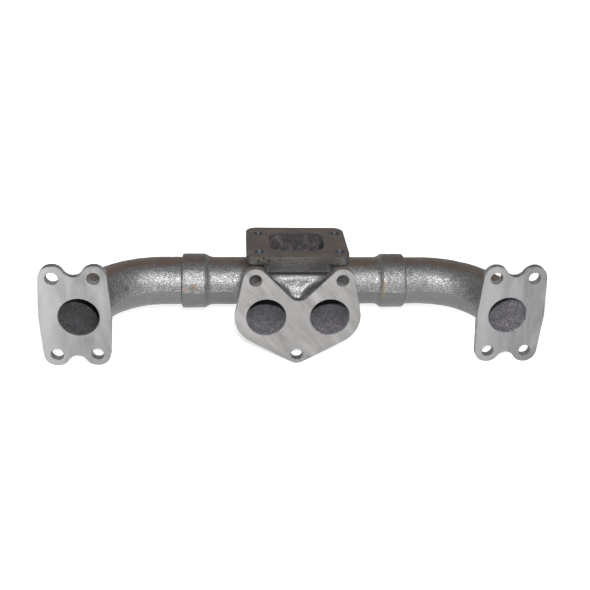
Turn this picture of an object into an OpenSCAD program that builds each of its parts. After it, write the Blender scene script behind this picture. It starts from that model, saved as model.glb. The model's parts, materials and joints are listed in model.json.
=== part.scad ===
// Three-piece cast exhaust manifold for a four-cylinder turbocharged engine.
// Millimetres. The head's face is the plane Y = 0 and the engine lies on the -Y side.
// X runs along the engine, +Z is up, and X = 0 is midway between the two middle ports.

/* [Head face] */
// Distance of each end port's axis from the middle of the manifold
end_port_x = 212; // [190:1:240]
// Distance of each middle port's axis from the middle
mid_port_x = 31.4; // [29:0.1:35]
// Height of the middle ports' axes against the end ports' axes
mid_port_z = -1.3; // [-3:0.1:0]
// Bore of every port
port_d = 39; // [34:0.5:40]
// Clearance hole for each head bolt
bolt_d = 12; // [9:0.1:13]
// Thickness of the head flanges
flange_t = 8; // [7:0.5:12]

/* [End flanges] */
// Distance of the bolt pattern's centre outboard of the port
end_pattern_offset = 3.5; // [0:0.1:5]
// Bolt spacing across, along X
end_bolt_dx = 38.8; // [36:0.1:44]
// Bolt spacing up and down, along Z
end_bolt_dz = 81.5; // [78:0.1:90]
// Radius of each corner ear
end_ear_r = 12.8; // [10:0.1:14]
// Radius of the bulge round the port
end_body_r = 34.6; // [33:0.1:37]
// Radius of the notch between two ears
end_notch_r = 9.5; // [7:0.1:11]

/* [Middle flange] */
// Spacing of the two upper bolts
mid_bolt_dx = 84.8; // [80:0.1:92]
// Height of the two upper bolts
mid_bolt_z = 38.6; // [34:0.1:42]
// Height of the single lower bolt
low_bolt_z = -42.9; // [-48:0.1:-40]
// Radius of the two upper ears
mid_ear_r = 12.2; // [10:0.1:13]
// Radius of the lower ear
low_ear_r = 10.5; // [9:0.1:13]
// Radius of the lobe round each middle port
mid_lobe_r = 31; // [29:0.1:33]
// Radius of the notch between the upper ears
mid_notch_r = 10; // [8:0.1:12]
// Height of that notch's centre
mid_notch_z = 26.5; // [24:0.1:32]

/* [Log and elbows] */
// Distance of the log's axis from the head's face
log_y = 77; // [70:1:90]
// Height of the log's axis over the end ports' axes
log_z = 2.6; // [0:0.1:4]
// Outer diameter of the log and of the elbows
tube_d = 50.2; // [48:0.1:54]
// Bore of the log and of the elbows
gas_d = 40; // [36:0.5:41]
// Radius of each elbow's bend, on its centreline
bend_r = 75.7; // [65:0.1:76]

/* [Turbine flange] */
// Height of the flange's machined face
turbo_z = 47; // [44:0.5:60]
// Centre of the bolt pattern along X
turbo_x = 3.5; // [-4:0.1:4]
// Bolt spacing along X
turbo_bolt_dx = 82.55; // [80:0.05:84]
// Bolt spacing along Y
turbo_bolt_dy = 49.2; // [48:0.1:51]
// Tapping drill of the four bolt holes
tap_d = 8.5; // [6.8:0.1:8.8]
// Thickness of the turbine flange
turbo_t = 10.5; // [9:0.5:14]
// Width of the flange along X
turbo_w = 105.4; // [103:0.1:110]
// Depth of the flange along Y
turbo_depth = 79; // [76:0.5:84]
// Width of the gas opening along X
inlet_w = 57; // [50:0.5:58]
// Depth of the gas opening along Y
inlet_depth = 47; // [40:0.5:48]

/* [Slip joints] */
// Outer diameter of each bell
bell_d = 57.2; // [55:0.1:62]
// Distance of the bells' mouths from the middle
bell_x = 117.3; // [112:0.1:125]
// Length of the bell's full diameter
bell_len = 23.8; // [20:0.1:28]
// Diameter of each machined spigot
spigot_d = 43; // [42:0.1:44]
// Bore of each spigot
spigot_gas_d = 34; // [30:0.5:35]
// Width of each ring groove
groove_w = 3; // [2.5:0.1:3.2]
// Radial thickness of the sealing rings
ring_t = 2; // [1.6:0.1:2.1]
// Gap in each ring
ring_gap = 1.5; // [0.5:0.1:3]

/* [Hidden] */
$fn = 96;

iron = [0.36, 0.35, 0.34];
ring_steel = [0.55, 0.55, 0.56];

tube_r = tube_d / 2;
gas_r = gas_d / 2;
port_r = port_d / 2;
cut = 1;                                  // how far a cutter runs past the face it opens
arc_step = 7.5;                           // degrees between the points of an outline's arc

// End flange: corner bolts, and the notches' centres, which touch two ears each
end_x = end_port_x + end_pattern_offset;
end_hx = end_bolt_dx / 2;
end_hz = end_bolt_dz / 2;
end_notch_z = end_hz + sqrt(pow(end_ear_r + end_notch_r, 2) - pow(end_hx, 2));

// Bend: it leaves the log's axis at bend_x, tilted so that it falls to the port's height inside the flange
bend_tilt = asin(log_z / bend_r);
bend_x = end_port_x - bend_r;

// Turbine flange: the cast outline sits a little off the drilled pattern
cast_x = turbo_x - 1.8;
cast_y = log_y + 1.5;
turbo_corner_r = 11;
inlet_corner_r = 13;
inlet_y = log_y + 1;
neck_w = 66;                              // the neck is as deep as the flange, and flush with it
neck_corner_r = 10;
neck_z = 13;

// Plenum: the log swells where the neck and the two runners meet it
plenum_r = 30;
plenum_gas_r = 24.5;
plenum_w = 76;
runner_r = 24.5;
web_w = 44;
web_h = 30;

// Slip joint, measured as distances from the middle
bell_in_x = bell_x - bell_len;            // where the bell reaches its full diameter
taper_x = bell_in_x - 5.5;                // where the taper leaves the log
mouth_r = tube_r + 0.5;                   // clearance round the rough tube
mouth_x = bell_x - 10;                    // bottom of the mouth's counterbore
bell_chamfer = 1.5;
socket_x = 82;                            // bottom of the machined socket
shoulder_x = 112;                         // where the elbow steps down to its spigot
spigot_x = 87;                            // tip of the spigot
funnel_x = 124;                           // where the spigot's bore has widened to the elbow's
spigot_chamfer = 1;
socket_d = spigot_d + 0.2;                // the bell's machined bore
ring_d = spigot_d + 0.14;                 // outside diameter of the rings as fitted
groove_x = [90, 97];                      // inboard side of each groove
groove_clear = 0.3;                       // radial room under the rings
groove_r = ring_d / 2 - ring_t - groove_clear;
ring_w = groove_w / 2 - 0.05;             // two rings share a groove

// Outward normal of the common tangent from circle a to circle b, for an outline that runs
// anticlockwise. A circle is [x, y, radius], and a notch has a negative radius.
function tangent_angle(a, b) =
    let (d = [b.x - a.x, b.y - a.y])
    let (c = (a[2] - b[2]) / norm(d))
    atan2(d.y, d.x) - acos(c);

// The angle b, turned by whole turns to follow a in the sense of the circle's radius
function follow(a, b, r) = r > 0 ? a + (b - a + 720) % 360 : a - (a - b + 720) % 360;

// The outline that a belt would take round a ring of circles, notches included
function belt(circles) = [
    for (i = [0:len(circles) - 1])
        let (c = circles[i])
        let (before = circles[(i + len(circles) - 1) % len(circles)])
        let (after = circles[(i + 1) % len(circles)])
        let (a0 = tangent_angle(before, c))
        let (a1 = follow(a0, tangent_angle(c, after), c[2]))
        let (steps = max(1, ceil(abs(a1 - a0) / arc_step)))
        for (k = [0:steps])
            let (a = a0 + (a1 - a0) * k / steps)
            [c.x + c[2] * cos(a), c.y + c[2] * sin(a)]
];

// Four equal corner circles of a rounded rectangle, anticlockwise
function corners(w, h, r) = [
    for (s = [[1, -1], [1, 1], [-1, 1], [-1, -1]])
        [s.x * (w / 2 - r), s.y * (h / 2 - r), r]
];

// Flat plate on the head's face, from a belt of circles in X and Z
module head_plate(circles) {
    translate([0, flange_t, 0])
        rotate([90, 0, 0])
            linear_extrude(height = flange_t)
                polygon(belt(circles));
}

// Prism between two heights, from a belt of circles in X and Y
module upright_prism(circles, x, y, low, high) {
    translate([x, y, low])
        linear_extrude(height = high - low)
            polygon(belt(circles));
}

// Cylinder along Y, from the head's side backwards
module along_y(x, z, r, y0, y1) {
    translate([x, y0, z])
        rotate([-90, 0, 0])
            cylinder(r = r, h = y1 - y0);
}

// Cylinder or cone along X on the log's axis, between two distances from the middle
module on_log(x0, x1, r0, r1) {
    translate([x0, log_y, log_z])
        rotate([0, 90, 0])
            cylinder(r1 = r0, r2 = r1, h = x1 - x0);
}

// Calls its children on the right-hand side, and mirrored on the left-hand side
module both_sides() {
    children();
    mirror([1, 0, 0])
        children();
}

module mid_flange() {
    head_plate([
        [mid_bolt_dx / 2, mid_bolt_z, mid_ear_r],
        [0, mid_notch_z, -mid_notch_r],
        [-mid_bolt_dx / 2, mid_bolt_z, mid_ear_r],
        [-mid_port_x, mid_port_z, mid_lobe_r],
        [0, low_bolt_z, low_ear_r],
        [mid_port_x, mid_port_z, mid_lobe_r]
    ]);
}

module end_flange() {
    translate([end_x, 0, 0])
        head_plate([
            [end_hx, -end_hz, end_ear_r],
            [0, 0, end_body_r],
            [end_hx, end_hz, end_ear_r],
            [0, end_notch_z, -end_notch_r],
            [-end_hx, end_hz, end_ear_r],
            [0, 0, end_body_r],
            [-end_hx, -end_hz, end_ear_r],
            [0, -end_notch_z, -end_notch_r]
        ]);
}

// Bell at the right-hand end of the log, outside only
module bell() {
    on_log(taper_x, bell_in_x, tube_r, bell_d / 2);
    on_log(bell_in_x, bell_x - bell_chamfer, bell_d / 2, bell_d / 2);
    on_log(bell_x - bell_chamfer, bell_x, bell_d / 2, bell_d / 2 - bell_chamfer);
}

module centre_outside() {
    on_log(-bell_in_x, bell_in_x, tube_r, tube_r);
    both_sides()
        bell();
    on_log(cast_x - plenum_w / 2, cast_x + plenum_w / 2, plenum_r, plenum_r);
    for (side = [-1, 1])
        along_y(side * mid_port_x, mid_port_z, runner_r, flange_t / 2, log_y);
    translate([-web_w / 2, flange_t / 2, mid_port_z - web_h / 2])
        cube([web_w, log_y - flange_t / 2, web_h]);
    upright_prism(corners(neck_w, turbo_depth, neck_corner_r), cast_x, cast_y, neck_z, turbo_z - turbo_t / 2);
    upright_prism(corners(turbo_w, turbo_depth, turbo_corner_r), cast_x, cast_y, turbo_z - turbo_t, turbo_z);
    mid_flange();
}

module centre_inside() {
    on_log(-bell_x, bell_x, gas_r, gas_r);
    on_log(cast_x - inlet_w / 2, cast_x + inlet_w / 2, plenum_gas_r, plenum_gas_r);
    both_sides() {
        on_log(socket_x, bell_x + cut, socket_d / 2, socket_d / 2);
        on_log(mouth_x, bell_x + cut, mouth_r, mouth_r);
    }
    for (side = [-1, 1]) {
        along_y(side * mid_port_x, mid_port_z, port_r, -cut, flange_t + cut);
        along_y(side * mid_port_x, mid_port_z, gas_r, flange_t, log_y);
    }
    upright_prism(corners(inlet_w, inlet_depth, inlet_corner_r), cast_x, inlet_y, log_z, turbo_z + cut);
}

module centre_bolt_holes() {
    for (side = [-1, 1])
        along_y(side * mid_bolt_dx / 2, mid_bolt_z, bolt_d / 2, -cut, flange_t + cut);
    along_y(0, low_bolt_z, bolt_d / 2, -cut, flange_t + cut);
    for (sx = [-1, 1], sy = [-1, 1])
        translate([turbo_x + sx * turbo_bolt_dx / 2, log_y + sy * turbo_bolt_dy / 2, turbo_z - turbo_t - cut])
            cylinder(d = tap_d, h = turbo_t + 2 * cut);
}

module centre_casting() {
    color(iron)
        difference() {
            centre_outside();
            centre_inside();
            centre_bolt_holes();
        }
}

// Quarter bend of the given radius, from the log's axis to the port
module bend(r) {
    translate([bend_x, log_y, log_z])
        rotate([bend_tilt, 0, 0])
            translate([0, -bend_r, 0])
                rotate_extrude(angle = 90)
                    translate([bend_r, 0])
                        circle(r = r);
}

module elbow_outside() {
    on_log(spigot_x, spigot_x + spigot_chamfer, spigot_d / 2 - spigot_chamfer, spigot_d / 2);
    on_log(spigot_x + spigot_chamfer, shoulder_x, spigot_d / 2, spigot_d / 2);
    on_log(shoulder_x, bend_x, tube_r, tube_r);
    bend(tube_r);
    end_flange();
}

module elbow_inside() {
    on_log(spigot_x - cut, shoulder_x, spigot_gas_d / 2, spigot_gas_d / 2);
    on_log(shoulder_x, funnel_x, spigot_gas_d / 2, gas_r);
    on_log(funnel_x, bend_x, gas_r, gas_r);
    difference() {
        bend(gas_r);
        translate([bend_x, -cut, -tube_d])
            cube([2 * bend_r, flange_t + cut, 2 * tube_d]);
    }
    along_y(end_port_x, 0, port_r, -cut, flange_t + cut / 2);
    for (sx = [-1, 1], sz = [-1, 1])
        along_y(end_x + sx * end_hx, sz * end_hz, bolt_d / 2, -cut, flange_t + cut);
}

// Grooves cut round the spigot
module ring_grooves() {
    for (x = groove_x)
        difference() {
            on_log(x, x + groove_w, tube_r, tube_r);
            on_log(x - cut, x + groove_w + cut, groove_r, groove_r);
        }
}

module elbow() {
    color(iron)
        difference() {
            elbow_outside();
            elbow_inside();
            ring_grooves();
        }
}

module left_elbow() {
    mirror([1, 0, 0])
        elbow();
}

module right_elbow() {
    elbow();
}

// Split ring: two share each groove, with their gaps on opposite sides
module seal_ring(number) {
    place = floor((number - 1) / 2);
    second = (number - 1) % 2;
    clear = (groove_w - 2 * ring_w) / 3;
    x = groove_x[place] + clear + second * (ring_w + clear);
    color(ring_steel)
        difference() {
            on_log(x, x + ring_w, ring_d / 2, ring_d / 2);
            on_log(x - cut, x + ring_w + cut, ring_d / 2 - ring_t, ring_d / 2 - ring_t);
            translate([x - cut, log_y - ring_gap / 2, second ? log_z - ring_d : log_z])
                cube([ring_w + 2 * cut, ring_gap, ring_d]);
        }
}

module left_seal_ring(number) {
    mirror([1, 0, 0])
        seal_ring(number);
}

centre_casting();
left_elbow();
right_elbow();
left_seal_ring(1);  // left_seal_ring_1
left_seal_ring(2);  // left_seal_ring_2
left_seal_ring(3);  // left_seal_ring_3
left_seal_ring(4);  // left_seal_ring_4
seal_ring(1);  // right_seal_ring_1
seal_ring(2);  // right_seal_ring_2
seal_ring(3);  // right_seal_ring_3
seal_ring(4);  // right_seal_ring_4
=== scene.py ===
"""Looks of a three-piece cast exhaust manifold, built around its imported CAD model.

Each casting is made the way a foundry and a machine shop make it. A distance field in millimetres gives the
cast shape, with stock left on it, and cutters then machine the flange faces, ports, bolt holes, threads,
sockets and spigots.
"""

import json
import math

import bmesh
import bpy
import numpy as np
import openvdb
from mathutils import Matrix, Vector


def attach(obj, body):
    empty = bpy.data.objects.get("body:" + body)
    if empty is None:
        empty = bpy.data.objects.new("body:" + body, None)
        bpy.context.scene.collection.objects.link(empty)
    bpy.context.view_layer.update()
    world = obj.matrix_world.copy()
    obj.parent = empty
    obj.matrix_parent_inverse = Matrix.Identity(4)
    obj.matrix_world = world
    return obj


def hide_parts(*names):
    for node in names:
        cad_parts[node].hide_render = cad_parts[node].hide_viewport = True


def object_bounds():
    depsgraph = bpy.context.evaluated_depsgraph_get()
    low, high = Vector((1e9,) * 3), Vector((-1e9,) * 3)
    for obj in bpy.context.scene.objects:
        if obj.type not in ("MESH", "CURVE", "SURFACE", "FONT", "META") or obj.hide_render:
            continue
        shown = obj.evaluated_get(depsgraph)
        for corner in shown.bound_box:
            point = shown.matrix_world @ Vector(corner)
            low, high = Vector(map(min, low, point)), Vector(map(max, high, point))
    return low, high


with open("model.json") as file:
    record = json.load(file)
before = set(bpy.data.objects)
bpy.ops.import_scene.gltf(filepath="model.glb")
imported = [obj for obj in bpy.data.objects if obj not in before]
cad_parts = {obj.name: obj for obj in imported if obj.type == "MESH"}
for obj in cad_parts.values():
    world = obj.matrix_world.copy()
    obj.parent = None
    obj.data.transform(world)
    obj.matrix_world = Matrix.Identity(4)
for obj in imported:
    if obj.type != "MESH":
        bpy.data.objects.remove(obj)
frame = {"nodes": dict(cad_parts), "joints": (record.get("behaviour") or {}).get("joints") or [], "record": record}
cad_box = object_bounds()

# ------------------------------------------------------------------ dimensions, in millimetres
MM = 0.001
MOUNTS = {mount["name"]: mount for mount in frame["record"]["mounts"]}
JOINTS = {joint["name"]: joint for joint in frame["joints"]}


def spot(row):
    """Place of a mount or a joint, in millimetres."""
    return [value / MM for value in row["pos_m"]]


END_X = spot(MOUNTS["right_end_bolts"])[0]
END_BOLT_DX = MOUNTS["right_end_bolts"]["dims"]["spacing_x_mm"]
END_BOLT_DZ = MOUNTS["right_end_bolts"]["dims"]["spacing_y_mm"]
END_PORT_X = spot(MOUNTS["right_end_port"])[0]
MID_PORT_X, _, MID_PORT_Z = spot(MOUNTS["right_middle_port"])
MID_BOLT_X = MOUNTS["middle_upper_bolts"]["dims"]["spacing_x_mm"] / 2
MID_BOLT_Z = spot(MOUNTS["middle_upper_bolts"])[2]
LOW_BOLT_Z = spot(MOUNTS["middle_lower_bolt"])[2]
BOLT_R = MOUNTS["right_end_bolts"]["dims"]["hole_r_mm"]
PORT_R = MOUNTS["right_end_port"]["dims"]["r_mm"]
FLANGE_T = MOUNTS["right_end_port"]["dims"]["length_mm"]
TURBO_X, TURBO_Y, TURBO_Z = spot(MOUNTS["turbine_bolts"])
TURBO_BOLT_DX = MOUNTS["turbine_bolts"]["dims"]["spacing_x_mm"]
TURBO_BOLT_DY = MOUNTS["turbine_bolts"]["dims"]["spacing_y_mm"]
_, LOG_Y, LOG_Z = spot(JOINTS["right_swivel"])

# Tubes and bends
TUBE_R = 25.1
GAS_R = 20.0
BEND_R = 75.7
BEND_X = END_PORT_X - BEND_R
BEND_TILT = math.asin(LOG_Z / BEND_R)

# Outlines of the head flanges: ears round the bolts, and notches between them
END_EAR_R = 12.8
END_BODY_R = 34.6
END_NOTCH_R = 9.5
MID_EAR_R = 12.2
LOW_EAR_R = 10.5
MID_LOBE_R = 31.0
MID_NOTCH_R = 10.0
MID_NOTCH_Z = 26.5

# Turbine flange, cast a little off its drilled holes, and what stands under it
CAST_X = TURBO_X - 1.8
CAST_Y = TURBO_Y + 1.5
TURBO_W = 105.4
TURBO_DEPTH = 79.0
TURBO_T = 10.5
TURBO_CORNER_R = 11.0
INLET_W = 57.0
INLET_DEPTH = 47.0
INLET_CORNER_R = 13.0
INLET_Y = LOG_Y + 1
NECK_W = 66.0
NECK_CORNER_R = 4.0
NECK_Z = 13.0
SHOULDER_W = 61.0      # rounded step in front of the neck
SHOULDER_Y = 34.6
SHOULDER_Z = 28.2
SHOULDER_R = 6.0
SHOULDER_END_R = 4.0
VALLEY_Z = 18.0        # slope from the shoulder down to the notch between the runners
VALLEY_FALL = 1.25
WEB_X = 20.0
WEB_Z = -14.0
PLENUM_R = 30.0
PLENUM_GAS_R = 24.5
PLENUM_W = 76.0
PLENUM_END_R = 10.0
RUNNER_R = 24.5

# Slip joints: bell, socket and spigot. Each X is the distance from the middle
BELL_R = 28.6
BELL_X = 117.3
BELL_IN_X = 93.5
TAPER_X = 88.0
SPIGOT_R = 21.5
SOCKET_R = SPIGOT_R + 0.1
SOCKET_X = 82.0
MOUTH_R = TUBE_R + 0.5
MOUTH_X = BELL_X - 10
SPIGOT_X = 87.0
SPIGOT_CHAMFER = 0.8
STEP_X = 112.0         # the spigot ends and the full tube starts
FUNNEL_X = 124.0       # the gas way has widened to its full size
SPIGOT_GAS_R = 17.0
GROOVES_X = (90.0, 97.0)
GROOVE_W = 3.0
GROOVE_R = 19.27

# Tapped holes
THREAD_PITCH = 1.5
THREAD_R = 5.0
TAPPING_R = 4.25
COUNTERSINK = 0.9

# Radii on cast edges, then fillets where one cast form runs into another
FLANGE_EDGE_R = 1.2
TURBO_EDGE_R = 2.0
BELL_EDGE_R = 1.6
TAPER_EDGE_R = 0.6
BELL_FILLET = 1.5
PLENUM_FILLET = 12.0
RUNNER_FILLET = 9.0
SHOULDER_FILLET = 5.0
WEB_FILLET = 6.0
NECK_FILLET = 6.0
FLANGE_FILLET = 5.0
ELBOW_FILLET = 4.5
PLENUM_GAS_FILLET = 6.0
RUNNER_GAS_FILLET = 5.0
INLET_GAS_FILLET = 4.0

STOCK = 2.5            # metal left on a cast face for machining
CHAMFER = 0.5          # broken edge of a machined face
BACK_CHAMFER = 0.4     # broken edge at the far end of a hole
FLASH_H = 0.4          # ridge left along the parting plane
FLASH_W = 0.8
LUMP_H = 0.22          # height and spacing of the coarse and the fine lumps of a cast skin
LUMP_STEP = 8.0
PIMPLE_H = 0.13
PIMPLE_STEP = 3.2
CORE_ROUGHNESS = 1.5   # how much lumpier a cored surface is than the outside
CENTRE_STEP = 1.26     # grid step of each distance field
ELBOW_STEP = 1.0
ARC_STEP = math.radians(7.5)
SHARP_ANGLE = math.radians(34)

# Index of each material in every casting's slots
CAST, CORE, GROUND, DRILLED, OXIDISED, THREAD, TURNED = range(7)

# ------------------------------------------------------------------ marks on the castings
# Colours are linear, and places and radii are in millimetres
BROWN = (0.11, 0.075, 0.045, 1)
ORANGE = (0.42, 0.13, 0.04, 1)
OCHRE = (0.24, 0.17, 0.06, 1)
RIM_BROWN = (0.10, 0.06, 0.042, 1)
# near black, for soot specks and for the painted shade in the crease under the neck
SOOT_AND_CREASE_SHADE = (0.015, 0.014, 0.013, 1)

HARDNESS_MARK = (-170.0, 41.2, 10.6)   # shallow dish left by a hardness test on the left elbow
NECK_FOOT = (0, 38.6, 28.6)            # a point on the crease where the neck meets the shoulder
CREASE_R = 2.1
INLET_SOOT = (CAST_X, INLET_Y + INLET_DEPTH / 2, 50)
INLET_SOOT_R = 19
# Slope of the parting plane towards the head
MID_FALL = (LOG_Z - MID_PORT_Z) / LOG_Y
END_FALL = math.tan(BEND_TILT)


def centre_stains():
    """Stains of the centre casting, as (point, radius, colour, strength)."""
    stains = [
        ((-106, 49, 7.5), 4.5, BROWN, 0.8), ((-113.8, 48.7, 5.7), 1.6, ORANGE, 1),
        ((-102, 48.8, 6.5), 2.5, BROWN, 0.6),
    ]
    for i, z in enumerate((13, 9, 5, 1, -3)):
        stains.append(((92 + 0.2 * i, 49.5, z), 3, OCHRE, 0.7))
    for x, z, size in ((-41, 45, 2), (-36.5, 44, 2.5), (-31, 45.5, 1.6)):
        stains.append(((x, 39, z), size, OCHRE, 0.5))
    for x, z, size in ((-39, 42, 1.8), (-34, 45.5, 1.6), (-28, 42.5, 2.4), (-17, 43, 1.5)):
        stains.append(((x, 39, z), size, SOOT_AND_CREASE_SHADE, 0.8))
    for side in (-1, 1):
        stains.append(((side * MID_BOLT_X, 5, MID_BOLT_Z + 11), 14, RIM_BROWN, 0.9))
    return stains


# ------------------------------------------------------------------ outlines
def belt(circles, grow=0.0):
    """Points of a belt round (x, y, radius) circles, anticlockwise. A notch has a negative radius."""
    count = len(circles)

    def tangent(a, b):
        dx, dy = b[0] - a[0], b[1] - a[1]
        return math.atan2(dy, dx) - math.acos((a[2] - b[2]) / math.hypot(dx, dy))

    points = []
    circles = [(x, y, r + grow) for x, y, r in circles]
    for i, (x, y, r) in enumerate(circles):
        start = tangent(circles[i - 1], circles[i])
        turn = (tangent(circles[i], circles[(i + 1) % count]) - start) % math.tau
        if r < 0:
            turn -= math.tau
        steps = max(1, math.ceil(abs(turn) / ARC_STEP - 1e-6))
        for k in range(steps + 1):
            angle = start + turn * k / steps
            points.append((x + r * math.cos(angle), y + r * math.sin(angle)))
    return points


def end_flange_circles():
    hx, hz = END_BOLT_DX / 2, END_BOLT_DZ / 2
    notch_z = hz + math.sqrt((END_EAR_R + END_NOTCH_R) ** 2 - hx ** 2)
    return [
        (END_X + hx, -hz, END_EAR_R), (END_X, 0, END_BODY_R), (END_X + hx, hz, END_EAR_R),
        (END_X, notch_z, -END_NOTCH_R),
        (END_X - hx, hz, END_EAR_R), (END_X, 0, END_BODY_R), (END_X - hx, -hz, END_EAR_R),
        (END_X, -notch_z, -END_NOTCH_R),
    ]


def mid_flange_circles():
    return [
        (MID_BOLT_X, MID_BOLT_Z, MID_EAR_R), (0, MID_NOTCH_Z, -MID_NOTCH_R),
        (-MID_BOLT_X, MID_BOLT_Z, MID_EAR_R), (-MID_PORT_X, MID_PORT_Z, MID_LOBE_R),
        (0, LOW_BOLT_Z, LOW_EAR_R), (MID_PORT_X, MID_PORT_Z, MID_LOBE_R),
    ]


def rectangle_circles(x, y, w, h, r):
    corners = ((1, -1), (1, 1), (-1, 1), (-1, -1))
    return [(x + sx * (w / 2 - r), y + sy * (h / 2 - r), r) for sx, sy in corners]


# ------------------------------------------------------------------ distance fields
def join(a, b, r):
    """Union with a fillet of radius r."""
    return np.maximum(r, np.minimum(a, b)) - np.hypot(np.maximum(r - a, 0), np.maximum(r - b, 0))


def both(a, b, r):
    """Intersection with an edge rounded to radius r."""
    return -join(-a, -b, r)


def between(t, low, high):
    return np.maximum(low - t, t - high)


def outline(u, v, points):
    """Signed distance to a closed polygon, negative inside."""
    best = np.full(np.broadcast_shapes(u.shape, v.shape), 1e9, np.float32)
    inside = np.zeros(best.shape, bool)
    for (au, av), (bu, bv) in zip(points, points[1:] + points[:1]):
        du, dv = bu - au, bv - av
        length = du * du + dv * dv
        if length < 1e-9:
            continue
        t = np.clip(((u - au) * du + (v - av) * dv) / length, 0, 1)
        best = np.minimum(best, (u - au - t * du) ** 2 + (v - av - t * dv) ** 2)
        if dv:
            inside ^= ((av > v) != (bv > v)) & (u < du * (v - av) / dv + au)
    return np.where(inside, -1, 1) * np.sqrt(best)


def rectangle(u, v, w, h, r):
    """Signed distance to a rounded rectangle."""
    a = np.abs(u) - w / 2 + r
    b = np.abs(v) - h / 2 + r
    return np.hypot(np.maximum(a, 0), np.maximum(b, 0)) + np.minimum(np.maximum(a, b), 0) - r


def lumps(shape, cell, seed):
    """Smooth noise from -1 to 1 over a grid, with a bump about every `cell` steps."""
    noise = np.random.default_rng(seed).uniform(-1, 1, [int(n / cell) + 3 for n in shape]).astype(np.float32)
    for axis, n in enumerate(shape):
        t = np.arange(n, dtype=np.float32) / cell
        i = t.astype(int)
        f = t - i
        f = (f * f * (3 - 2 * f)).reshape([-1 if a == axis else 1 for a in range(3)])
        noise = np.take(noise, i, axis) * (1 - f) + np.take(noise, i + 1, axis) * f
    return noise


def flash(w):
    """Height of the ridge left along the parting plane, where w is the distance from the plane."""
    return FLASH_H * np.exp(-(w / FLASH_W) ** 2)


def centre_fields(x, y, z):
    """Outside and gas way of the centre casting."""
    rho = np.hypot(y - LOG_Y, z - LOG_Z)
    along = np.abs(x)
    log = np.maximum(rho - TUBE_R, along - BELL_X)
    rise, run = BELL_R - TUBE_R, BELL_IN_X - TAPER_X
    taper = ((rho - TUBE_R) * run - (along - TAPER_X) * rise) / math.hypot(rise, run)
    bell = both(both(rho - BELL_R, along - BELL_X, BELL_EDGE_R), taper, TAPER_EDGE_R)
    plenum = both(rho - PLENUM_R, np.abs(x - CAST_X) - PLENUM_W / 2, PLENUM_END_R)
    runner = np.maximum(np.hypot(along - MID_PORT_X, z - MID_PORT_Z) - RUNNER_R, y - LOG_Y)
    shoulder = both(between(y, SHOULDER_Y, LOG_Y), between(z, 0, SHOULDER_Z), SHOULDER_R)
    shoulder = both(shoulder, np.abs(x - CAST_X) - SHOULDER_W / 2, SHOULDER_END_R)
    valley = (z - VALLEY_Z - VALLEY_FALL * (y - SHOULDER_Y)) / math.hypot(1, VALLEY_FALL)
    web = np.maximum(np.maximum(along - WEB_X, valley), np.maximum(WEB_Z - z, y - LOG_Y))
    neck = np.maximum(rectangle(x - CAST_X, y - CAST_Y, NECK_W, TURBO_DEPTH, NECK_CORNER_R),
                      between(z, NECK_Z, TURBO_Z))
    top = both(rectangle(x - CAST_X, y - CAST_Y, TURBO_W, TURBO_DEPTH, TURBO_CORNER_R),
               between(z, TURBO_Z - TURBO_T, TURBO_Z + STOCK), TURBO_EDGE_R)
    plate = both(outline(x, z, belt(mid_flange_circles())), between(y, -STOCK, FLANGE_T), FLANGE_EDGE_R)
    outside = join(log, bell, BELL_FILLET)
    outside = join(outside, plenum, PLENUM_FILLET)
    outside = join(outside, runner, RUNNER_FILLET)
    outside = join(outside, join(web, shoulder, SHOULDER_FILLET), WEB_FILLET)
    outside = np.minimum(outside, join(np.minimum(log, plenum), neck, NECK_FILLET))
    outside = np.minimum(outside, top)
    outside = outside - flash(z - LOG_Z + (LOG_Y - y) * (LOG_Z - MID_PORT_Z) / LOG_Y)
    outside = join(outside, plate, FLANGE_FILLET)

    gas = np.maximum(rho - GAS_R, along - 2 * BELL_X)
    plenum_gas = both(rho - PLENUM_GAS_R, np.abs(x - CAST_X) - INLET_W / 2, PLENUM_GAS_FILLET)
    port = np.where(y < FLANGE_T, PORT_R - 1, GAS_R)
    runner_gas = np.maximum(np.hypot(along - MID_PORT_X, z - MID_PORT_Z) - port, y - LOG_Y)
    inlet = np.maximum(rectangle(x - CAST_X, y - INLET_Y, INLET_W, INLET_DEPTH, INLET_CORNER_R), LOG_Z - z)
    inside = join(gas, plenum_gas, PLENUM_GAS_FILLET)
    inside = join(inside, runner_gas, RUNNER_GAS_FILLET)
    inside = join(inside, inlet, INLET_GAS_FILLET)
    return outside, inside


def elbow_fields(x, y, z):
    """Outside and gas way of the right-hand elbow."""
    cos_tilt, sin_tilt = math.cos(BEND_TILT), math.sin(BEND_TILT)
    toward = -(y - LOG_Y) * cos_tilt - (z - LOG_Z) * sin_tilt
    above = -(y - LOG_Y) * sin_tilt + (z - LOG_Z) * cos_tilt
    out = x - BEND_X
    past_bend = np.abs(out - BEND_R)
    in_bend = np.abs(np.hypot(out, BEND_R - toward) - BEND_R)
    off = np.where(out < 0, np.abs(toward), np.where(toward > BEND_R, past_bend, in_bend))
    rho = np.hypot(off, above)
    tube = np.maximum(rho - TUBE_R, STEP_X - x)
    stub = np.maximum(rho - SPIGOT_R - 1, SPIGOT_X - 1 - x)
    plate = both(outline(x, z, belt(end_flange_circles())), between(y, -STOCK, FLANGE_T), FLANGE_EDGE_R)
    outside = join(tube - flash(above), plate, ELBOW_FILLET)
    outside = np.minimum(outside, stub)

    widening = np.clip((x - STEP_X) / (FUNNEL_X - STEP_X), 0, 1)
    bore = SPIGOT_GAS_R + (GAS_R - SPIGOT_GAS_R) * widening
    inside = rho - np.where(y < FLANGE_T, PORT_R - 1, bore)
    return outside, inside


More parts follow.
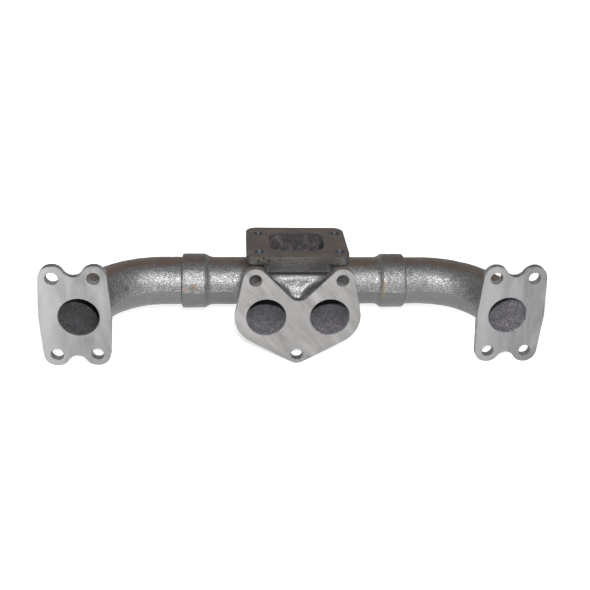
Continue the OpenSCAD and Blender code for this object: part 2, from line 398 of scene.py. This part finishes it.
# ------------------------------------------------------------------ meshes
def new_piece(name, points, faces, indices):
    """Mesh object in metres from points in millimetres, with a material index for each face."""
    mesh = bpy.data.meshes.new(name)
    mesh.from_pydata((np.asarray(points, float) * MM).tolist(), [], [list(map(int, face)) for face in faces])
    for each in MATERIALS[name.split("-")[0]]:
        mesh.materials.append(each)
    mesh.polygons.foreach_set("material_index", np.asarray(indices, np.int32))
    mesh.update()
    piece = bpy.data.objects.new(name, mesh)
    bpy.context.scene.collection.objects.link(piece)
    return piece


def cast(name, fields, low, high, step, seed, side=1):
    """Rough casting. side is -1 for a left-hand piece, which mirrors the right-hand one."""
    steps = [np.arange(low[i], high[i], step, dtype=np.float32) for i in range(3)]
    outside, inside = fields(*np.meshgrid(*steps, indexing="ij", sparse=True))
    shape = tuple(len(s) for s in steps)
    rough = LUMP_H * lumps(shape, LUMP_STEP / step, seed)
    rough = rough + PIMPLE_H * lumps(shape, PIMPLE_STEP / step, seed + 1)
    outside = np.broadcast_to(outside, shape) + rough
    inside = np.broadcast_to(inside, shape) + CORE_ROUGHNESS * rough
    grid = openvdb.FloatGrid(2 * step)
    grid.copyFromArray(np.ascontiguousarray(np.maximum(outside, -inside), np.float32))
    points, quads = grid.convertToQuads(isovalue=0.0)
    middle = np.clip(np.rint(points[quads].mean(1)).astype(int), 0, np.array(shape) - 1)
    near = tuple(middle.T)
    indices = np.where(np.abs(inside[near]) < np.abs(outside[near]), CORE, CAST)
    points = points * step + np.array(low)
    if side < 0:
        points[:, 0] *= -1
        quads = quads[:, ::-1]
    return new_piece(name, points, quads, indices)


def loft(name, loops, index, capped=True, side=1):
    """Closed mesh through loops of points: capped at its ends, or joined from the last loop to the first."""
    count = len(loops[0])
    faces = []
    for i in range(len(loops) - 1 if capped else len(loops)):
        a = i * count
        b = (i + 1) % len(loops) * count
        faces += [(a + k, a + (k + 1) % count, b + (k + 1) % count, b + k) for k in range(count)]
    if capped:
        faces.append(tuple(range(count)))
        faces.append(tuple(range((len(loops) - 1) * count, len(loops) * count)))
    points = np.array(loops, float).reshape(-1, 3) * (side, 1, 1)
    piece = new_piece(name, points, faces, [index] * len(faces))
    shape = bmesh.new()
    shape.from_mesh(piece.data)
    bmesh.ops.recalc_face_normals(shape, faces=shape.faces)
    shape.to_mesh(piece.data)
    shape.free()
    return piece


def circle(axis, a, b, t, radius, steps=96):
    """Ring of points round an axis through (a, b), at t along it. radius may vary with the angle."""
    points = []
    for k in range(steps):
        angle = math.tau * k / steps
        r = radius(angle) if callable(radius) else radius
        u, v = a + r * math.cos(angle), b + r * math.sin(angle)
        points.append({"x": (t, u, v), "y": (u, t, v), "z": (u, v, t)}[axis])
    return points


def drill(name, x, z, r, deep, index=DRILLED, back_chamfer=0.0, side=1):
    """Hole from the head's side, with a broken edge."""
    stations = ((-1, r + CHAMFER + 1), (CHAMFER, r), (deep - back_chamfer, r), (deep + 1, r + back_chamfer))
    return loft(name, [circle("y", x, z, t, radius) for t, radius in stations], index, side=side)


def turn(name, stations, index, capped, side=1):
    """Turned on the log's axis: a boring tool if it is capped, and otherwise one that leaves a spindle."""
    return loft(name, [circle("x", LOG_Y, LOG_Z, t, r, 128) for t, r in stations], index, capped, side)


def break_edge(name, circles, face, place, index, inward, chamfer=CHAMFER, side=1):
    """Ring-shaped cutter that chamfers the outline of a machined face at `face`.

    place turns an outline's point and a height into (x, y, z), and inward is the way into the metal, 1 or -1.
    """
    reach = 6
    stations = (
        (face - inward, -chamfer - 1), (face + inward, 1 - chamfer),
        (face + inward, reach), (face - inward, reach),
    )
    loops = [[place(u, v, t) for u, v in belt(circles, grow)] for t, grow in stations]
    return loft(name, loops, index, capped=False, side=side)


def mill(name, low, high, index, side=1):
    """Box-shaped cutter between two corners, which reaches well past the face that it leaves."""
    corners = ((low[0], low[1]), (high[0], low[1]), (high[0], high[1]), (low[0], high[1]))
    loops = [[(x, y, z) for x, y in corners] for z in (low[2], high[2])]
    return loft(name, loops, index, side=side)


def tap(name, x, y):
    """Tapped hole in the turbine flange, with a helical thread."""
    steps_a_turn = 6
    steepness = 1.25       # more than 1, so that the thread has a flat at its widest
    low, high = TURBO_Z - TURBO_T - 1.5, TURBO_Z + 0.6
    count = int((high - low) / THREAD_PITCH * steps_a_turn)
    loops = []
    for i in range(count + 1):
        z = low + (high - low) * i / count
        opening = max(0.0, z - TURBO_Z + COUNTERSINK)

        def radius(angle, z=z, opening=opening):
            phase = (z / THREAD_PITCH - angle / math.tau) % 1
            depth = 1 - abs(2 * phase - 1)
            thread = TAPPING_R + (THREAD_R - TAPPING_R) * min(1.0, steepness * depth)
            return max(thread, TAPPING_R + opening)

        loops.append(circle("z", x, y, z, radius, 40))
    return loft(name, loops, THREAD)


def ball(name, point, outward, r, deep, index):
    """Ball that leaves a shallow dish at a point of a surface."""
    length = math.hypot(*outward)
    x, y, z = (p + n / length * (r - deep) for p, n in zip(point, outward))
    angles = [math.pi * (k + 0.5) / 24 for k in range(24)]
    loops = [circle("z", x, y, z - r * math.cos(angle), r * math.sin(angle), 48) for angle in angles]
    return loft(name, loops, index)


def machine(piece, cutters):
    """Cuts the cutters out of a casting and marks its machined edges as sharp."""
    for cutter in cutters:
        cut = piece.modifiers.new(cutter.name, "BOOLEAN")
        cut.operation = "DIFFERENCE"
        cut.solver = "MANIFOLD"
        cut.object = cutter
    bpy.context.view_layer.update()
    finished = bpy.data.meshes.new_from_object(piece.evaluated_get(bpy.context.evaluated_depsgraph_get()))
    piece.modifiers.clear()
    rough = piece.data
    piece.data = finished
    bpy.data.meshes.remove(rough)
    for cutter in cutters:
        mesh = cutter.data
        bpy.data.objects.remove(cutter)
        bpy.data.meshes.remove(mesh)
    finished.shade_smooth()
    finished.set_sharp_from_angle(angle=SHARP_ANGLE)
    return piece


def make_centre():
    """Centre casting, cast and machined."""
    name = "centre_iron"
    piece = cast(name, centre_fields, (-BELL_X - 4, -STOCK - 4, -58), (BELL_X + 4, 122, TURBO_Z + STOCK + 4),
                 CENTRE_STEP, seed=11)
    cutters = [
        mill(name + "-head_face", (-90, -9, -70), (90, 0, 70), GROUND),
        mill(name + "-turbine_face", (-80, 20, TURBO_Z), (80, 140, TURBO_Z + 9), OXIDISED),
        break_edge(name + "-head_edge", mid_flange_circles(), 0, lambda u, v, t: (u, t, v), GROUND, 1),
        break_edge(name + "-turbine_edge",
                   rectangle_circles(CAST_X, CAST_Y, TURBO_W, TURBO_DEPTH, TURBO_CORNER_R),
                   TURBO_Z, lambda u, v, t: (u, v, t), OXIDISED, -1, chamfer=0.4),
        drill(name + "-low_bolt", 0, LOW_BOLT_Z, BOLT_R, FLANGE_T, back_chamfer=BACK_CHAMFER),
    ]
    socket = (
        (SOCKET_X, GAS_R - 1), (SOCKET_X, SOCKET_R), (MOUTH_X, SOCKET_R), (MOUTH_X, MOUTH_R),
        (BELL_X - 0.5, MOUTH_R), (BELL_X + 1.5, MOUTH_R + 2),
    )
    for side, word in ((-1, "left"), (1, "right")):
        cutters.append(drill(f"{name}-{word}_port", side * MID_PORT_X, MID_PORT_Z, PORT_R, FLANGE_T + 0.5,
                             CORE))
        cutters.append(drill(f"{name}-{word}_bolt", side * MID_BOLT_X, MID_BOLT_Z, BOLT_R, FLANGE_T,
                             back_chamfer=BACK_CHAMFER))
        cutters.append(turn(f"{name}-{word}_socket", socket, TURNED, capped=True, side=side))
        for row in (-1, 1):
            cutters.append(tap(f"{name}-{word}_thread_{row + 1}", TURBO_X + side * TURBO_BOLT_DX / 2,
                               TURBO_Y + row * TURBO_BOLT_DY / 2))
    return machine(piece, cutters)


def make_elbow(word, side, seed):
    """One elbow, cast and machined."""
    name = f"{word}_elbow_iron"
    reach = END_X + END_BOLT_DX / 2 + END_EAR_R
    piece = cast(name, elbow_fields, (SPIGOT_X - 4, -STOCK - 3, -58), (reach + 4, LOG_Y + TUBE_R + 4, 58),
                 ELBOW_STEP, seed, side)
    spindle = [(SPIGOT_X, SPIGOT_R - SPIGOT_CHAMFER), (SPIGOT_X + SPIGOT_CHAMFER, SPIGOT_R)]
    for x in GROOVES_X:
        spindle += [(x, SPIGOT_R), (x, GROOVE_R), (x + GROOVE_W, GROOVE_R), (x + GROOVE_W, SPIGOT_R)]
    spindle += [(STEP_X, SPIGOT_R), (STEP_X, TUBE_R + 5), (SPIGOT_X - 5, TUBE_R + 5),
                (SPIGOT_X - 5, SPIGOT_GAS_R - 4), (SPIGOT_X, SPIGOT_GAS_R - 4)]
    cutters = [
        mill(name + "-head_face", (150, -9, -70), (270, 0, 70), GROUND, side),
        break_edge(name + "-head_edge", end_flange_circles(), 0, lambda u, v, t: (u, t, v), GROUND, 1,
                   side=side),
        drill(name + "-port", END_PORT_X, 0, PORT_R, FLANGE_T + 0.5, CORE, side=side),
        turn(name + "-spigot", spindle, TURNED, capped=False, side=side),
    ]
    if side < 0:
        cutters.append(ball(name + "-hardness_mark", HARDNESS_MARK, (0.60, -0.72, 0.35), 14, 0.35, CAST))
    for column in (-1, 1):
        for row in (-1, 1):
            cutters.append(drill(f"{name}-bolt_{column + 1}_{row + 1}", END_X + column * END_BOLT_DX / 2,
                                 row * END_BOLT_DZ / 2, BOLT_R, FLANGE_T,
                                 back_chamfer=BACK_CHAMFER, side=side))
    return machine(piece, cutters)


# ------------------------------------------------------------------ materials
class Shader:
    """Small helper that adds nodes to one material's tree."""

    def __init__(self, name):
        self.material = bpy.data.materials.new(name)
        self.material.use_nodes = True
        self.tree = self.material.node_tree
        self.surface = self.tree.nodes["Principled BSDF"]
        self.place = self.add("ShaderNodeTexCoord").outputs["Object"]
        self.normal = self.tree.nodes["Texture Coordinate"].outputs["Normal"]

    def add(self, kind, inputs=None, **settings):
        node = self.tree.nodes.new(kind)
        for key, value in settings.items():
            setattr(node, key, value)
        for key, value in (inputs or {}).items():
            if isinstance(value, bpy.types.NodeSocket):
                self.tree.links.new(value, node.inputs[key])
            else:
                node.inputs[key].default_value = value
        return node

    def set(self, **inputs):
        """Sets the surface's inputs by name, with _ for a space."""
        for key, value in inputs.items():
            socket = self.surface.inputs[key.replace("_", " ")]
            if isinstance(value, bpy.types.NodeSocket):
                self.tree.links.new(value, socket)
            else:
                socket.default_value = value

    def math(self, operation, a, b=0.0):
        return self.add("ShaderNodeMath", {0: a, 1: b}, operation=operation).outputs[0]

    def mix(self, factor, a, b):
        node = self.add("ShaderNodeMix", {0: factor, 6: a, 7: b}, data_type="RGBA")
        return node.outputs[2]

    def noise(self, scale, detail=2.0, stretch=None, roughness=0.5):
        """Noise of `scale` bumps a metre.

        stretch is a rotation, and how much longer the bumps are on each axis.
        """
        vector = self.place
        if stretch is not None:
            turned = {"Vector": vector, "Rotation": stretch[0], "Scale": stretch[1]}
            vector = self.add("ShaderNodeMapping", turned, vector_type="TEXTURE").outputs[0]
        inputs = {"Vector": vector, "Scale": scale, "Detail": detail, "Roughness": roughness}
        return self.add("ShaderNodeTexNoise", inputs).outputs["Fac"]

    def ramp(self, value, low, high, out_low=0.0, out_high=1.0):
        """Value from out_low at low to out_high at high, and level beyond them."""
        inputs = {"Value": value, "From Min": low, "From Max": high, "To Min": out_low, "To Max": out_high}
        return self.add("ShaderNodeMapRange", inputs).outputs[0]

    def bump(self, height, distance, strength=1.0, normal=None):
        inputs = {"Height": height, "Distance": distance, "Strength": strength}
        if normal is not None:
            inputs["Normal"] = normal
        return self.add("ShaderNodeBump", inputs).outputs[0]

    def near(self, point, radius, mask=(1, 1, 1)):
        """1 close to a point in millimetres, and 0 beyond the radius. A 0 in mask leaves that axis out."""
        place = self.add("ShaderNodeVectorMath", {0: self.place, 1: mask}, operation="MULTIPLY")
        away = self.distance(place.outputs["Vector"], point)
        return self.ramp(away, radius * MM, radius * MM * 0.45)

    def distance(self, place, point):
        """Distance in metres from a point in millimetres."""
        inputs = {0: place, 1: [value * MM for value in point]}
        return self.add("ShaderNodeVectorMath", inputs, operation="DISTANCE").outputs["Value"]

    def split(self, vector):
        """Outputs X, Y and Z of a vector."""
        return self.add("ShaderNodeSeparateXYZ", {0: vector}).outputs


def grey(value, warm=0.0):
    return (value * (1 + warm), value, value * (1 - warm), 1)


def violet(value):
    return (value * 1.01, value * 0.97, value * 1.06, 1)


def cast_iron(name, fall, stains, dark_from=1000.0, under=1.0, crease=None):
    """Shot-blasted iron as cast. fall is the parting plane's slope towards the head.

    Oxide darkens it above dark_from, under shades it below the parting plane, painted shade darkens what faces up,
    and painted shade lies dark and rough in a crease that runs along X.
    """
    s = Shader(name)
    parts = s.split(s.place)
    height = s.math("SUBTRACT", parts["Z"], s.math("MULTIPLY", parts["Y"], fall))
    parting = (LOG_Z - LOG_Y * fall) * MM
    below = s.ramp(height, parting + 0.0003, parting - 0.0003)
    up = s.split(s.normal)["Z"]
    grain = s.noise(900, 3, roughness=0.6)
    coarse = s.noise(420, 2)
    patches = s.noise(60, 3)

    # Bright flecks, a duller grey below the parting plane, painted shade that darkens what faces up, and a brown
    # film on what faces up
    top = s.math("MULTIPLY", s.ramp(up, 0.78, 0.98), s.ramp(patches, 0.3, 0.6, 0.75, 1.0))
    fleck = s.ramp(grain, 0.46, 0.62)
    colour = s.mix(fleck, grey(0.10), grey(0.25))
    underside = s.mix(s.ramp(coarse, 0.3, 0.7), grey(0.116 * under), grey(0.144 * under))
    colour = s.mix(below, colour, underside)
    colour = s.mix(top, colour, s.mix(fleck, (0.076, 0.071, 0.066, 1), (0.112, 0.104, 0.096, 1)))
    film = s.math("MULTIPLY", s.ramp(up, 0.86, 0.96, 0.0, 0.8), s.ramp(patches, 0.4, 0.6, 0.5, 1.0))
    film = s.math("MULTIPLY", film, s.ramp(parts["Y"], 0.010, 0.018))
    colour = s.mix(film, colour, (0.11, 0.073, 0.055, 1))

    oxide = s.mix(fleck, (0.055, 0.052, 0.05, 1), (0.12, 0.115, 0.11, 1))
    dark = s.ramp(parts["Z"], (dark_from - 3) * MM, (dark_from + 4) * MM)
    colour = s.mix(s.math("MULTIPLY", dark, 0.9), colour, oxide)
    for point, radius, tint, amount in stains:
        mottle = s.ramp(coarse, 0.35, 0.6, 0.4 * amount, amount)
        colour = s.mix(s.math("MULTIPLY", s.near(point, radius), mottle), colour, tint)

    rough = s.ramp(grain, 0.46, 0.62, 0.5, 0.37)
    rough = s.math("ADD", rough, s.math("MULTIPLY", top, 0.18))
    rough = s.math("ADD", rough, s.math("MULTIPLY", below, 0.08))
    # Painted shade: a near-black, rougher band along the crease where the neck meets the shoulder
    if crease:
        soot = s.math("MULTIPLY", s.near(crease, CREASE_R, (0, 1, 1)), 0.8)
        colour = s.mix(soot, colour, SOOT_AND_CREASE_SHADE)
        rough = s.math("ADD", rough, s.math("MULTIPLY", soot, 0.7))
    relief = s.math("MULTIPLY", grain, s.ramp(below, 0, 1, 1.0, 0.35))
    relief = s.math("ADD", relief, s.math("MULTIPLY", coarse, 0.6))
    s.set(Base_Color=colour, Metallic=0.75, Roughness=rough, Normal=s.bump(relief, 0.00032))
    return s.material


def core_iron(name, tone, dark_from=1000.0, soot_at=None):
    """Inside of a gas way, left by a sand core. Soot darkens it above dark_from, and most round soot_at."""
    s = Shader(name)
    grain = s.noise(520, 4, roughness=0.7)
    rust = s.ramp(s.noise(190, 4), 0.52, 0.7, 0.0, 0.35)
    soot = s.ramp(s.noise(130, 4), 0.45, 0.65, 0.0, 0.45)
    colour = s.mix(s.ramp(grain, 0.4, 0.62), violet(0.45 * tone), violet(1.6 * tone))
    colour = s.mix(rust, colour, (0.11, 0.075, 0.07, 1))
    colour = s.mix(soot, colour, violet(0.4 * tone))

    # Burnt skin above dark_from: specks in patches, with some red oxide
    speck = s.mix(s.ramp(grain, 0.42, 0.6), violet(0.024), (0.1, 0.082, 0.092, 1))
    burnt = s.mix(s.ramp(s.noise(150, 5, roughness=0.65), 0.43, 0.57), violet(0.012), speck)
    if soot_at:
        burnt = s.mix(s.math("MULTIPLY", s.near(soot_at, INLET_SOOT_R), 0.8), burnt, violet(0.014))
    burnt = s.mix(s.ramp(s.noise(190, 4), 0.56, 0.7, 0.0, 0.6), burnt, (0.075, 0.038, 0.036, 1))
    dark = s.ramp(s.split(s.place)["Z"], (dark_from - 15) * MM, dark_from * MM, 0.0, 0.9)
    colour = s.mix(dark, colour, burnt)
    s.set(Base_Color=colour, Metallic=0.1, Roughness=0.85, Normal=s.bump(grain, 0.0012))
    return s.material


def ground_iron(name, angle, centre, tone, warm, painted_sheen_span):
    """Ground flange face: a straight lay at an angle from the vertical, over a cutter's arcs round a centre.

    The last argument gives the x where a painted highlight on the face is brightest, and the x where it has faded
    out.
    """
    s = Shader(name)
    lay = ((0, math.radians(angle), 0), (1, 1, 25))
    wipe = ((0, math.radians(angle), 0), (1, 1, 3))
    streaks = s.noise(1400, 4, lay, 0.7)
    speckle = s.noise(700, 4)
    smudges = s.noise(90, 5, wipe)
    patches = s.noise(60, 3, wipe)
    arcs = s.add("ShaderNodeTexNoise", {"W": s.distance(s.place, centre), "Scale": 900.0, "Detail": 3.0},
                 noise_dimensions="1D").outputs["Fac"]
    marks = s.add("ShaderNodeMix", {0: 0.35, 2: streaks, 3: arcs}).outputs[0]
    # Painted highlight: the colour turns lighter towards one x, standing in for the sheen of light on the ground
    # face
    painted_sheen = s.ramp(s.split(s.place)["X"], painted_sheen_span[0] * MM, painted_sheen_span[1] * MM, 0.6, 0.0)
    colour = s.mix(s.ramp(marks, 0.3, 0.7), grey(0.145 * tone, warm), grey(0.225 * tone, warm))
    colour = s.mix(s.ramp(patches, 0.5, 0.66, 0.0, 0.5), colour, grey(0.28 * tone, warm))
    colour = s.mix(s.ramp(smudges, 0.47, 0.64, 0.0, 0.55), colour, grey(0.11 * tone, 0.02 + warm))
    colour = s.mix(painted_sheen, colour, grey(0.32 * tone, warm))
    colour = s.mix(s.ramp(speckle, 0.5, 0.68, 0.0, 0.35), colour, grey(0.30 * tone, warm))
    s.set(Base_Color=colour, Metallic=0.55, Roughness=s.ramp(patches, 0.35, 0.65, 0.5, 0.36),
          Normal=s.bump(marks, 0.00008, normal=s.bump(smudges, 0.0004)))
    return s.material


def drilled_iron(name):
    """Drilled holes and broken edges."""
    s = Shader(name)
    marks = s.noise(900, 3)
    colour = s.mix(s.ramp(marks, 0.3, 0.7), grey(0.10, 0.03), grey(0.16, 0.03))
    s.set(Base_Color=colour, Metallic=0.6, Roughness=s.ramp(marks, 0.2, 0.8, 0.45, 0.6),
          Normal=s.bump(marks, 0.00008))
    return s.material


def turned_iron(name):
    """Bright turned spigots and sockets."""
    s = Shader(name)
    marks = s.noise(1500, 3, ((0, 0, 0), (1, 30, 30)))
    colour = s.mix(s.ramp(marks, 0.3, 0.7), grey(0.34), grey(0.48))
    s.set(Base_Color=colour, Metallic=0.85, Roughness=s.ramp(marks, 0.2, 0.8, 0.26, 0.4),
          Normal=s.bump(marks, 0.00005))
    return s.material


def oxidised_iron(name):
    """Turbine face: machined, then darkened by brown oxide."""
    s = Shader(name)
    fine = s.noise(1500, 3)
    clouds = s.noise(70, 4)
    colour = s.mix(s.ramp(clouds, 0.35, 0.65), (0.027, 0.0165, 0.0125, 1), (0.052, 0.0345, 0.026, 1))
    colour = s.mix(s.ramp(fine, 0.5, 0.8, 0.0, 0.5), colour, (0.09, 0.072, 0.062, 1))
    s.set(Base_Color=colour, Metallic=0.4, Roughness=0.62, Normal=s.bump(fine, 0.0002))
    return s.material


def threaded_iron(name):
    """Flanks of the tapped holes."""
    s = Shader(name)
    marks = s.noise(1200, 2)
    colour = s.mix(s.ramp(marks, 0.3, 0.7), (0.055, 0.061, 0.07, 1), (0.10, 0.11, 0.128, 1))
    s.set(Base_Color=colour, Metallic=0.7, Roughness=0.45, Normal=s.bump(marks, 0.00006))
    return s.material


def ring_steel(name):
    """Sealing rings, ground and a little heat-tinted."""
    s = Shader(name)
    lay = s.noise(1600, 3, ((0, 0, 0), (1, 30, 30)))
    tint = s.noise(90, 2)
    colour = s.mix(s.ramp(tint, 0.35, 0.7), grey(0.55), (0.52, 0.47, 0.38, 1))
    s.set(Base_Color=colour, Metallic=0.95, Roughness=s.ramp(lay, 0.3, 0.7, 0.22, 0.38),
          Normal=s.bump(lay, 0.00005))
    return s.material


def paper(name):
    """Pale studio floor, which glows a little so that shadows on it stay faint."""
    s = Shader(name)
    fibre = s.noise(400, 2)
    s.set(Base_Color=s.mix(s.ramp(fibre, 0.3, 0.7), grey(0.86), grey(0.89)), Roughness=0.9)
    s.set(Emission_Color=grey(1), Emission_Strength=0.58)
    return s.material


# ------------------------------------------------------------------ build
shared = [drilled_iron("drilled_iron"), oxidised_iron("oxidised_iron"), threaded_iron("threaded_iron"),
          turned_iron("turned_iron")]
left_stains = [(HARDNESS_MARK, 4, BROWN, 0.85)]
MATERIALS = {
    "centre_iron": [
        cast_iron("centre_cast", MID_FALL, centre_stains(), dark_from=30, under=0.85, crease=NECK_FOOT),
        core_iron("centre_core", tone=0.16, dark_from=12, soot_at=INLET_SOOT),
        ground_iron("centre_ground", angle=-40, centre=(60, 0, 90), tone=0.92, warm=0.02, painted_sheen_span=(-90, -60)),
    ] + shared,
    "left_elbow_iron": [
        cast_iron("left_cast", END_FALL, left_stains),
        core_iron("left_core", tone=0.06),
        ground_iron("left_ground", angle=0, centre=(-END_X - 20, 0, -15), tone=0.97, warm=0.0,
                    painted_sheen_span=(-242, -218)),
    ] + shared,
    "right_elbow_iron": [
        cast_iron("right_cast", END_FALL, []),
        core_iron("right_core", tone=0.18),
        # Painted shade: a lower tone darkens this ground face against the other two
        ground_iron("right_ground", angle=0, centre=(END_X - 10, 0, 5), tone=0.8, warm=0.0, painted_sheen_span=(190, 225)),
    ] + shared,
}

centre = make_centre()
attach(centre, "centre")
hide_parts("centre_casting")
for word, side, seed in (("left", -1, 23), ("right", 1, 37)):
    elbow = make_elbow(word, side, seed)
    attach(elbow, f"{word}_end")
    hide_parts(f"{word}_elbow")

steel = ring_steel("ring_steel")
for name, node in frame["nodes"].items():
    if "seal_ring" in name:
        node.data.materials.clear()
        node.data.materials.append(steel)

# ------------------------------------------------------------------ floor, light and camera
FLOOR = 12.0             # half its width, in metres
floor_z = cad_box[0][2]
floor_corners = [(x * FLOOR, y * FLOOR, floor_z) for x, y in ((-1, -1), (1, -1), (1, 1), (-1, 1))]
floor_mesh = bpy.data.meshes.new("floor")
floor_mesh.from_pydata(floor_corners, [], [(0, 1, 2, 3)])
floor_mesh.materials.append(paper("paper"))
floor = bpy.data.objects.new("floor", floor_mesh)
bpy.context.scene.collection.objects.link(floor)


def hang(light, place, target):
    """Puts a light at a place in metres, aimed at a target."""
    lamp = bpy.data.objects.new(light.name, light)
    lamp.location = place
    lamp.rotation_euler = (Vector(target) - Vector(place)).to_track_quat("-Z", "Y").to_euler()
    bpy.context.scene.collection.objects.link(lamp)


def soft_sun(name, place, target, angle, power):
    light = bpy.data.lights.new(name, "SUN")
    light.angle = math.radians(angle)
    light.energy = power
    hang(light, place, target)


def softbox(name, place, target, size, power):
    light = bpy.data.lights.new(name, "AREA")
    light.shape = "RECTANGLE"
    light.size = size
    light.size_y = size
    light.energy = power
    hang(light, place, target)


soft_sun("key", (0.35, -1.0, 1.08), (0, 0.05, 0), 34, 1.25)
soft_sun("rim", (0, 1.0, 0.6), (0, 0.05, 0), 60, 0.8)
# Small and just above the camera, so that each port's top edge casts a crisp shadow into it
softbox("flash", (-0.045, -0.65, 0.402), (0, 0.04, 0), 0.008, 7.4)

# The studio's walls are pale at the horizon and darker overhead
world = bpy.data.worlds.new("studio")
world.use_nodes = True
sky = world.node_tree
aim = sky.nodes.new("ShaderNodeSeparateXYZ")
sky.links.new(sky.nodes.new("ShaderNodeTexCoord").outputs["Generated"], aim.inputs[0])
walls = sky.nodes.new("ShaderNodeMapRange")
sky.links.new(aim.outputs["Z"], walls.inputs["Value"])
for key, value in {"From Min": 0.1, "From Max": 0.4, "To Min": 0.8, "To Max": 0.22}.items():
    walls.inputs[key].default_value = value
sky.links.new(walls.outputs[0], sky.nodes["Background"].inputs["Strength"])
sky.nodes["Background"].inputs["Color"].default_value = (1, 1, 1, 1)
bpy.context.scene.world = world
bpy.context.scene.view_settings.view_transform = "Standard"

camera_data = bpy.data.cameras.new("camera")
camera_data.lens = 51.44
camera_data.sensor_width = 36
camera_data.shift_x = -0.034
camera_data.shift_y = -0.110
camera_data.clip_start = 0.01
camera = bpy.data.objects.new("camera", camera_data)
turn_left, look_down, roll = (math.radians(value) for value in (5.79, 21.95, 2.45))
camera.matrix_world = (Matrix.Translation((-0.0617, -0.7369, 0.3903)) @ Matrix.Rotation(-turn_left, 4, "Z")
                       @ Matrix.Rotation(math.pi / 2 - look_down, 4, "X") @ Matrix.Rotation(roll, 4, "Z"))
bpy.context.scene.collection.objects.link(camera)
bpy.context.scene.camera = camera
